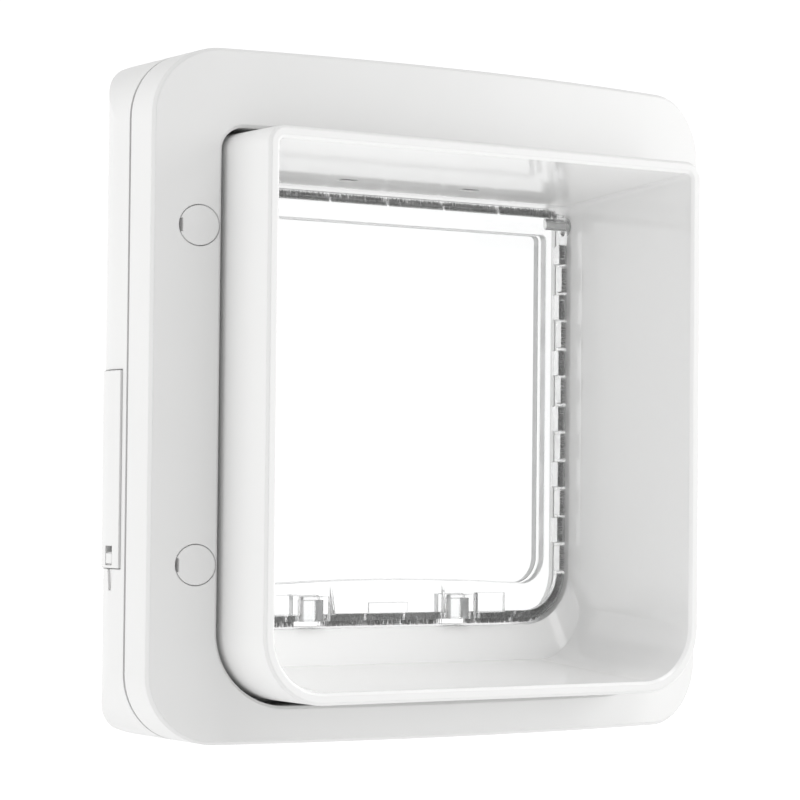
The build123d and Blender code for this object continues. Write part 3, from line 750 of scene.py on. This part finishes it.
@dataclass
class PileStrip:
    """Pile along one edge of the flap: upright fibres in the groove, between its ribs."""

    edge: Edge
    corner: float = 17.0 * MM
    pitch: float = 0.4 * MM
    fibre: float = 0.12 * MM
    fibre_sides: int = 3
    uneven: float = 0.6 * MM
    lean: float = 0.12
    upright_from: float = 1.5 * MM
    root_shift: float = 0.1 * MM
    probe: float = 0.2
    skip: float = 0.001 * MM
    batch: int = 20

    @property
    def node(self) -> str:
        """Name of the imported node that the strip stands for."""
        return f"flap_brush_{self.edge.value}"

    def line(self) -> list[tuple[Vector, Vector]]:
        """Places along the strip's outer edge.

        Returns:
            Points on the middle of the edge, each with its outward direction.
        """
        if self.edge in (Edge.LEFT, Edge.RIGHT):
            return self.upright_line()
        low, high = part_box(self.node)
        depth = (low.y + high.y) / 2
        straight = (high.x - low.x) / 2 - (self.corner if self.edge is Edge.BOTTOM else 0)
        side = 1 if self.edge is Edge.TOP else -1
        up = high.z if side > 0 else low.z
        places = []
        for step in range(int(2 * straight / self.pitch)):
            point = Vector((-straight + (step + 0.5) * self.pitch, depth, up))
            places.append((point, Vector((0, 0, side))))
        if self.edge is Edge.BOTTOM:
            places += self.corner_line(straight, Vector((0, depth, low.z + self.corner)))
        return places

    def upright_line(self) -> list[tuple[Vector, Vector]]:
        """Places along the outer edge of a strip at the side.

        Returns:
            Points on the middle of the edge, each with its outward direction.
        """
        low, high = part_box(self.node)
        depth = (low.y + high.y) / 2
        side = -1 if self.edge is Edge.LEFT else 1
        across = low.x if side < 0 else high.x
        places = []
        for step in range(int((high.z - low.z) / self.pitch)):
            point = Vector((across, depth, low.z + (step + 0.5) * self.pitch))
            places.append((point, Vector((side, 0, 0))))
        return places

    def corner_line(self, straight: float, level: Vector) -> list[tuple[Vector, Vector]]:
        """Places along the two round corners of the bottom strip.

        Args:
            straight: Half the length of the straight run between them.
            level: Point on the flap's middle, level with the centres of the corners.

        Returns:
            Points on the middle of the edge, each with its outward direction.
        """
        places = []
        turns = int(self.corner * math.pi / 2 / self.pitch)
        for step in range(turns):
            angle = (step + 0.5) / turns * math.pi / 2
            for hand in (-1, 1):
                outward = Vector((hand * math.sin(angle), 0, -math.cos(angle)))
                centre = level + Vector((hand * straight, 0, 0))
                places.append((centre + outward * self.corner, outward))
        return places

    def reach(self) -> float:
        """How far the fibres reach into the groove.

        Returns:
            The strip's size across the flap's edge, which the bottom strip shares with the side ones.
        """
        if self.edge is Edge.BOTTOM:
            left_low, left_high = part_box("flap_brush_left")
            return left_high.x - left_low.x
        low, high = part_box(self.node)
        return high.z - low.z if self.edge is Edge.TOP else high.x - low.x

    def filled(self, tree: BVHTree, point: Vector) -> bool:
        """Whether a point lies inside one of the strip's solids.

        Args:
            tree: The solids' faces.
            point: The point to test.

        Returns:
            True inside a solid.
        """
        walls = 0
        start = point.copy()
        while True:
            hit = tree.ray_cast(start, Vector((0.0, 1.0, 0.0)))[0]
            if hit is None:
                return walls % 2 == 1
            walls += 1
            start = hit + Vector((0.0, self.skip, 0.0))

    def build(self, solid: bpy.types.Object) -> bpy.types.Object:
        """Makes the fibres, a batch at a time, because one mesh with many loose shapes grows slowly.

        Args:
            solid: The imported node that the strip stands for.

        Returns:
            The strip.
        """
        draw = random.Random(self.node)
        tree = BVHTree.FromPolygons(
            [vertex.co for vertex in solid.data.vertices], [face.vertices[:] for face in solid.data.polygons]
        )
        low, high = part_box(self.node)
        width = high.y - low.y
        length = self.reach()
        rows = int(width / self.pitch)
        strip = bmesh.new()
        tuft = bmesh.new()
        store = bpy.data.meshes.new("tuft")
        for count, (point, outward) in enumerate(self.line(), 1):
            if self.filled(tree, point - outward * (self.probe * length)):
                for row in range(rows):
                    self.fibre_at(tuft, draw, point, outward, length, (row + 0.5) / rows * width - width / 2)
            if count % self.batch == 0:
                tuft.to_mesh(store)
                strip.from_mesh(store)
                tuft.clear()
        tuft.to_mesh(store)
        strip.from_mesh(store)
        tuft.free()
        bpy.data.meshes.remove(store)
        return finished(f"pile_{self.edge.value}", strip)

    def fibre_at(
        self,
        mesh: bmesh.types.BMesh,
        draw: random.Random,
        point: Vector,
        outward: Vector,
        length: float,
        across: float,
    ) -> None:
        """Adds one fibre.

        Args:
            mesh: Where it goes.
            draw: The strip's random numbers.
            point: Place on the strip's outer edge.
            outward: The fibre's direction.
            length: How far the fibre reaches into the groove.
            across: Its place across the strip.
        """
        tall = length - draw.uniform(0, self.uneven)
        sway = Vector([draw.uniform(-self.lean, self.lean) for _ in range(3)])
        sway.y *= max(0.0, 1 - abs(across) / self.upright_from)
        aim = (outward + sway).normalized()
        shift_x = draw.uniform(-self.root_shift, self.root_shift)
        shift_z = draw.uniform(-self.root_shift, self.root_shift)
        root = point - outward * length + Vector((shift_x, across, shift_z))
        turn = aim.to_track_quat("Z", "Y").to_matrix().to_4x4()
        bmesh.ops.create_cone(
            mesh,
            cap_ends=True,
            segments=self.fibre_sides,
            radius1=self.fibre,
            radius2=self.fibre / 2,
            depth=tall,
            matrix=Matrix.Translation(root + aim * (tall / 2)) @ turn,
        )


@dataclass
class Cells:
    """The four cells: turned cans with a crimped shoulder and a nub."""

    radius: float = 7.1 * MM
    spacing: float = 14.68 * MM
    nub: float = 2.75 * MM
    nub_height: float = 1.0 * MM
    crimp: float = 0.8 * MM
    steps: int = 40
    merge: float = 0.01 * MM
    beside: float = 0.1 * MM

    def places(self) -> list[tuple[float, float, bool]]:
        """Where the cells stand.

        Returns:
            The x and y of each axis, and whether the nub is at the top.
        """
        low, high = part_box("batteries")
        front_x = high.x - self.radius
        front_y = low.y + self.radius
        rear_y = high.y - self.radius
        rear_x = front_x - math.sqrt(self.spacing**2 - (rear_y - front_y) ** 2)
        return [
            place
            for side in (-1, 1)
            for place in ((side * front_x, front_y, True), (side * rear_x, rear_y, False))
        ]

    def outline(self, tall: float) -> tuple[tuple[float, float], ...]:
        """Half of a cell's section.

        Args:
            tall: The cell's height with its nub.

        Returns:
            Distances from the axis, each with its height, from the foot to the nub.
        """
        body = tall - self.nub_height
        return (
            (0.0, 0.0),
            (self.radius - self.crimp, 0.0),
            (self.radius, self.crimp / 2),
            (self.radius, body - self.crimp),
            (self.radius - self.crimp, body),
            (self.nub, body),
            (self.nub, tall - self.crimp / 4),
            (self.nub - self.crimp / 4, tall),
            (0.0, tall),
        )

    def build(self) -> bpy.types.Object:
        """Turns the cells about their axes.

        Returns:
            One object with the four cells.
        """
        low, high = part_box("batteries")
        tall = high.z - low.z
        cans = bmesh.new()
        for x, y, nub_up in self.places():
            points = [cans.verts.new((x + across, y, low.z + up)) for across, up in self.outline(tall)]
            edges = [cans.edges.new(pair) for pair in zip(points, points[1:])]
            bmesh.ops.spin(
                cans,
                geom=points + edges,
                cent=(x, y, 0),
                axis=(0, 0, 1),
                angle=2 * math.pi,
                steps=self.steps,
                use_merge=True,
            )
            if not nub_up:
                near = self.radius + self.beside
                can = [vert for vert in cans.verts if (vert.co.xy - Vector((x, y))).length < near]
                middle = Matrix.Translation((x, y, low.z + tall / 2))
                turn = middle @ Matrix.Rotation(math.pi, 4, "X") @ middle.inverted()
                bmesh.ops.transform(cans, matrix=turn, verts=can)
        bmesh.ops.remove_doubles(cans, verts=cans.verts, dist=self.merge)
        bmesh.ops.recalc_face_normals(cans, faces=cans.faces)
        return finished("cells", cans)


@dataclass(frozen=True)
class SoftBox:
    """A square soft light that points at the middle of the part."""

    name: str
    place: Triple
    side: float
    power: float

    def hang(self) -> None:
        """Adds the light to the scene."""
        data = bpy.data.lights.new(self.name, "AREA")
        data.size = self.side
        data.energy = self.power
        lamp = bpy.data.objects.new(self.name, data)
        lamp.location = self.place
        lamp.rotation_euler = (-Vector(self.place)).to_track_quat("-Z", "Y").to_euler()
        bpy.context.scene.collection.objects.link(lamp)


@dataclass
class Studio:
    """Plain pale floor that rises into a round backdrop, with soft light."""

    radius: float = 3.2
    rise: float = 2.2
    cove: float = 1.2
    cove_steps: int = 10
    steps: int = 72
    merge: float = 1.0 * MM
    paper_tone: Colour = (0.12, 0.12, 0.12)
    paper_roughness: float = 0.9
    glow_from: float = -2.5
    glow_to: float = -0.8
    ambient: float = 0.45
    behind: float = 0.95
    boxes: tuple[SoftBox, ...] = (
        SoftBox("key_right", (1.8, -1.2, 0.7), 1.2, 12.0),
        SoftBox("left_side", (-1.5, 0.55, 0.5), 1.2, 9.0),
        SoftBox("overhead", (0.4, -1.3, 1.7), 1.2, 13.0),
    )

    def sweep(self, floor: float, view: Vector) -> None:
        """Makes the floor and the backdrop as one turned sheet.

        Args:
            floor: Height of the floor.
            view: Level direction in which the camera looks.
        """
        sheet = bmesh.new()
        corner = [sheet.verts.new(place) for place in ((0, 0, floor), (self.radius, 0, floor))]
        corner.append(sheet.verts.new((self.radius, 0, floor + self.rise)))
        for pair in zip(corner, corner[1:]):
            sheet.edges.new(pair)
        bmesh.ops.bevel(
            sheet,
            geom=[corner[1]],
            offset=self.cove,
            segments=self.cove_steps,
            profile=0.5,
            affect="VERTICES",
            material=-1,
        )
        bmesh.ops.spin(
            sheet,
            geom=list(sheet.verts) + list(sheet.edges),
            cent=(0, 0, 0),
            axis=(0, 0, 1),
            angle=2 * math.pi,
            steps=self.steps,
            use_merge=True,
        )
        bmesh.ops.remove_doubles(sheet, verts=sheet.verts, dist=self.merge)
        bmesh.ops.recalc_face_normals(sheet, faces=sheet.faces)
        backdrop = finished("studio_sweep", sheet)
        backdrop.data.materials.append(self.paper(view))
        backdrop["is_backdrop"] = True

    def paper(self, view: Vector) -> bpy.types.Material:
        """Pale paper that glows most behind the part.

        Args:
            view: Level direction in which the camera looks.

        Returns:
            The material.
        """
        graph = ShaderGraph("studio_paper")
        across, depth, _ = graph.split(graph.place())
        ahead = (across * view.x + depth * view.y).smooth(self.glow_from, self.glow_to)
        glow = self.ambient + ahead * (self.behind - self.ambient)
        return graph.surface(
            Base_Color=(*self.paper_tone, 1.0),
            Roughness=self.paper_roughness,
            Emission_Color=graph.mix(glow, (0, 0, 0), (1, 1, 1)),
            Emission_Strength=1.0,
        )

    def light(self) -> None:
        """Hangs the soft boxes and sets the world and the view transform."""
        for box in self.boxes:
            box.hang()
        scene = bpy.context.scene
        scene.world = bpy.data.worlds.new("studio_world")
        scene.world.use_nodes = True
        sky = scene.world.node_tree.nodes["Background"]
        sky.inputs["Color"].default_value = (1, 1, 1, 1)
        sky.inputs["Strength"].default_value = self.ambient
        scene.view_settings.view_transform = "Standard"


@dataclass
class PhotoCamera:
    """Camera at the photograph's place, turned to its view."""

    place: Triple = (-0.5131, -0.7635, -0.0222)
    yaw: float = math.radians(33.57)
    pitch: float = math.radians(1.84)
    roll: float = math.radians(0.55)
    lens: float = 128.5
    nearest: float = 10.0 * MM

    @property
    def level(self) -> Vector:
        """Level direction in which the camera looks."""
        return Vector((math.sin(self.yaw), math.cos(self.yaw), 0))

    def build(self) -> None:
        """Makes the camera and gives it to the scene."""
        data = bpy.data.cameras.new("photo_camera")
        data.lens = self.lens
        data.clip_start = self.nearest
        camera = bpy.data.objects.new("photo_camera", data)
        aim = Matrix.Rotation(-self.yaw, 4, "Z") @ Matrix.Rotation(math.pi / 2 + self.pitch, 4, "X")
        camera.matrix_world = Matrix.Translation(self.place) @ aim @ Matrix.Rotation(self.roll, 4, "Z")
        bpy.context.scene.collection.objects.link(camera)
        bpy.context.scene.camera = camera


def main() -> None:
    """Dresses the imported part, adds its fine pieces and sets the studio."""
    logging.basicConfig(level=logging.INFO, format="%(name)s %(message)s")
    for leftover in list(bpy.data.objects):
        bpy.data.objects.remove(leftover)
    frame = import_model()
    cad_box = [list(corner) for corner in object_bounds()]
    nodes = frame["nodes"]
    wardrobe = Wardrobe()
    wardrobe.dress_nodes(nodes)
    camera = PhotoCamera()
    camera.build()
    for edge in Edge:
        strip = PileStrip(edge)
        pile = strip.build(nodes[strip.node])
        wardrobe.dress(pile, Finish.PILE)
        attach(pile, "flap")
        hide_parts(strip.node)
        LOG.info("%s: %d faces", pile.name, len(pile.data.polygons))
    cells = Cells().build()
    wardrobe.dress(cells, Finish.CELL)
    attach(cells, "housing")
    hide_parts("batteries")
    LOG.info("%s: %d faces", cells.name, len(cells.data.polygons))
    studio = Studio()
    studio.sweep(cad_box[0][2], camera.level)
    studio.light()


if __name__ == "__main__":
    main()
